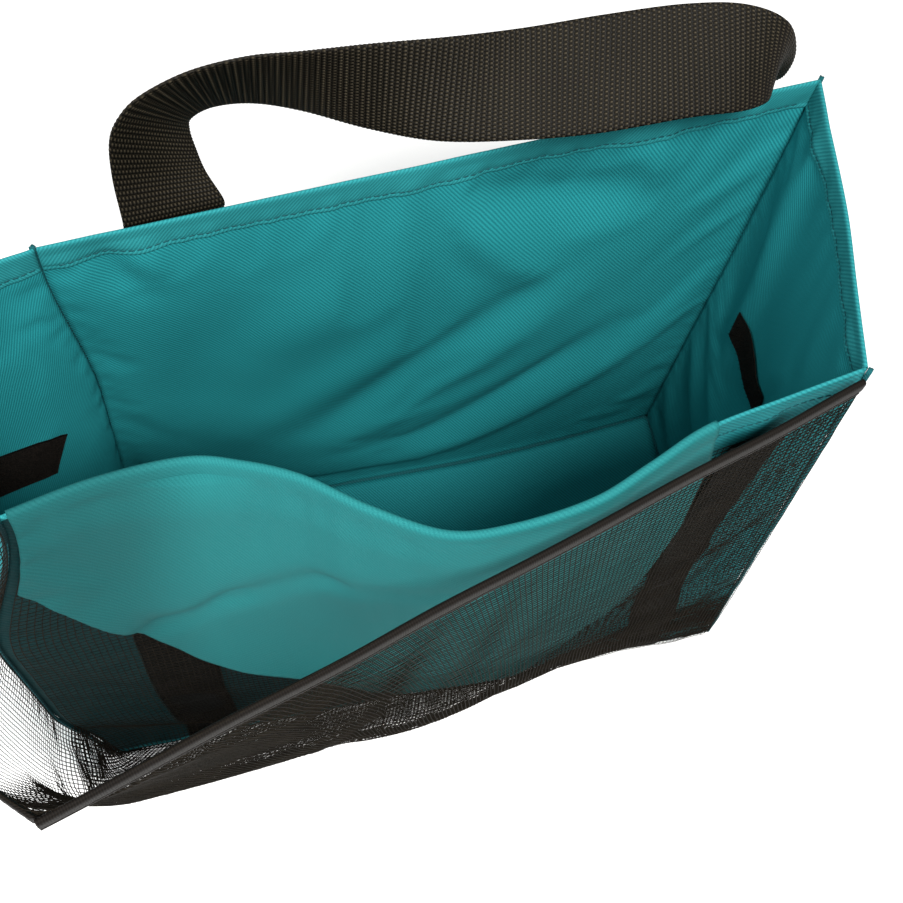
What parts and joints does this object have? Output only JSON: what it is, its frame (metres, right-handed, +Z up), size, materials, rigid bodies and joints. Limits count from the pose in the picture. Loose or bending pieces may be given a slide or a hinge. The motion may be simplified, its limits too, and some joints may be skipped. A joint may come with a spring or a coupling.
{
  "type": "fruit picking bag",
  "caption": "Open-topped fabric picking bag with one webbing carry handle, a front flap, a loose net pocket with a taped mouth, and hook-and-loop patches.",
  "frame": {"origin": "middle of the rectangular base, on the surface that the bag stands on", "axes": "+Z up towards the open mouth, +X along the bag's width, -Y towards the front with the net pocket, +Y towards the back panel with the handle"},
  "size_m": [0.356, 0.2359, 0.36],
  "materials": {
    "teal_cloth": "coated 600D polyester, fine diagonal rib, hemmed",
    "flap_cloth": "the same polyester, seen on its bright side",
    "hem_cloth": "turned-in hem of the same cloth",
    "seam_tape": "folded seam allowance in the same cloth",
    "webbing": "black polypropylene webbing, ribbed weave",
    "net": "black knotless polyester net, 2 mm cells",
    "binding": "black folded binding tape",
    "hook_tape": "black hook-and-loop tape",
    "thread": "teal polyester sewing thread",
    "black_thread": "black polyester sewing thread"
  },
  "bodies": {
    "bag": {"back_panel": "teal_cloth", "bottom_panel": "teal_cloth", "bottom_seam": "seam_tape", "front_flap": "flap_cloth", "front_panel": "teal_cloth", "front_strap_left": "webbing", "front_strap_right": "webbing", "handle_end_left": "webbing", "handle_end_right": "webbing", "handle_stitching": "black_thread", "hem_back": "hem_cloth", "hem_front": "hem_cloth", "hem_left": "hem_cloth", "hem_right": "hem_cloth", "hem_stitching": "thread", "hook_patch": "hook_tape", "left_gusset": "teal_cloth", "loop_patch": "hook_tape", "mesh_lining": "net", "mesh_pocket": "net", "right_gusset": "teal_cloth", "seam_back_left": "seam_tape", "seam_back_right": "seam_tape", "seam_front_left": "seam_tape", "seam_front_right": "seam_tape"},
    "handle": {"handle_webbing": "webbing"},
    "pocket_mouth": {"pocket_binding_front": "binding", "pocket_binding_left": "binding"}
  },
  "joints": [
    {"name": "handle_swing", "type": "hinge", "parent": "bag", "child": "handle", "pos_m": [0.02027, 0.06495, 0.303], "axis": [0.9971, 0.0757, 0], "range_deg": [-140, 95]},
    {"name": "pocket_mouth_drop", "type": "hinge", "parent": "bag", "child": "pocket_mouth", "pos_m": [0, -0.062, 0.2965], "axis": [1, 0, 0], "range_deg": [0, 11]}
  ]
}
